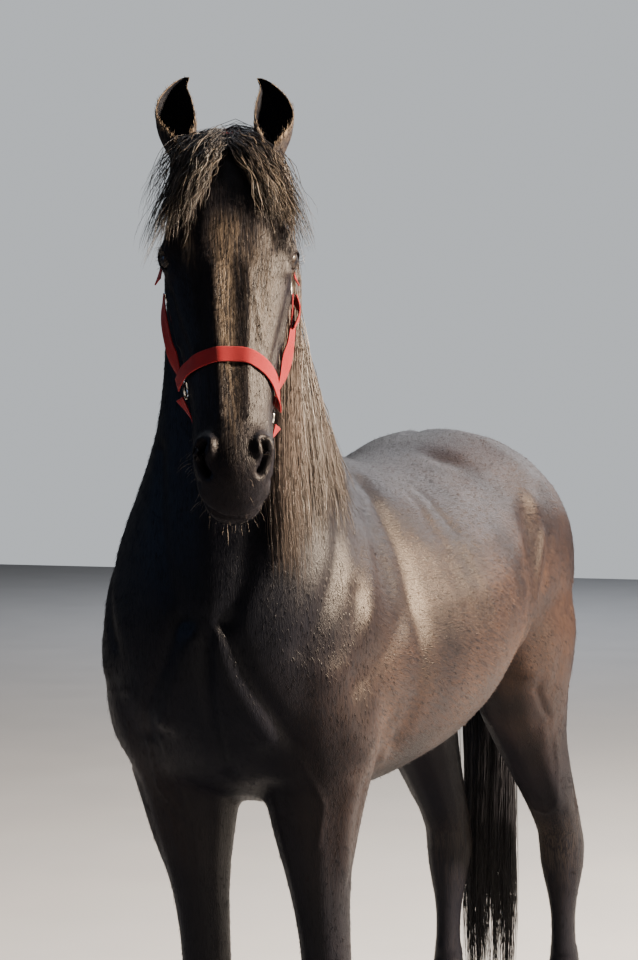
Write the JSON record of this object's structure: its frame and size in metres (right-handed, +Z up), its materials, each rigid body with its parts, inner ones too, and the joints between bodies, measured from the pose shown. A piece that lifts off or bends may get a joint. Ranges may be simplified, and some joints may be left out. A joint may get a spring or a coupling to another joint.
{
  "type": "friesian horse",
  "caption": "Life-size standing Friesian horse, head raised and turned to its left, long mane and tail, feathered feet, webbing halter.",
  "frame": {"origin": "on the floor under the middle of the horse's box", "axes": "+Z up, the horse faces -Y, its left side is +X"},
  "size_m": [0.6385, 2.2432, 2.1873],
  "materials": {
    "coat": "short glossy black coat with a brown cast",
    "long_hair": "long wavy black hair, brownish where the sun bleaches it",
    "feather_hair": "long silky black hair on the lower legs",
    "eye": "wet dark brown eye",
    "hoof": "dark horn with faint growth rings",
    "halter_webbing": "woven red polypropylene webbing",
    "halter_metal": "plated steel, lightly worn"
  },
  "bodies": {
    "root": {"chin_strap": "halter_webbing", "crown_strap": "halter_webbing", "forelock": "long_hair", "head": "coat", "jaw_strap": "halter_webbing", "left_buckle": "halter_metal", "left_cheek_strap": "halter_webbing", "left_ear": "coat", "left_eye": "eye", "left_fore_foot": "feather_hair", "left_fore_hoof": "hoof", "left_fore_leg": "coat", "left_hind_foot": "feather_hair", "left_hind_hoof": "hoof", "left_hind_leg": "coat", "left_ring": "halter_metal", "mane": "long_hair", "neck": "coat", "noseband": "halter_webbing", "right_buckle": "halter_metal", "right_cheek_strap": "halter_webbing", "right_ear": "coat", "right_eye": "eye", "right_fore_foot": "feather_hair", "right_fore_hoof": "hoof", "right_fore_leg": "coat", "right_hind_foot": "feather_hair", "right_hind_hoof": "hoof", "right_hind_leg": "coat", "right_ring": "halter_metal", "tail": "long_hair", "throat_strap": "halter_webbing", "torso": "coat"}
  },
  "joints": []
}
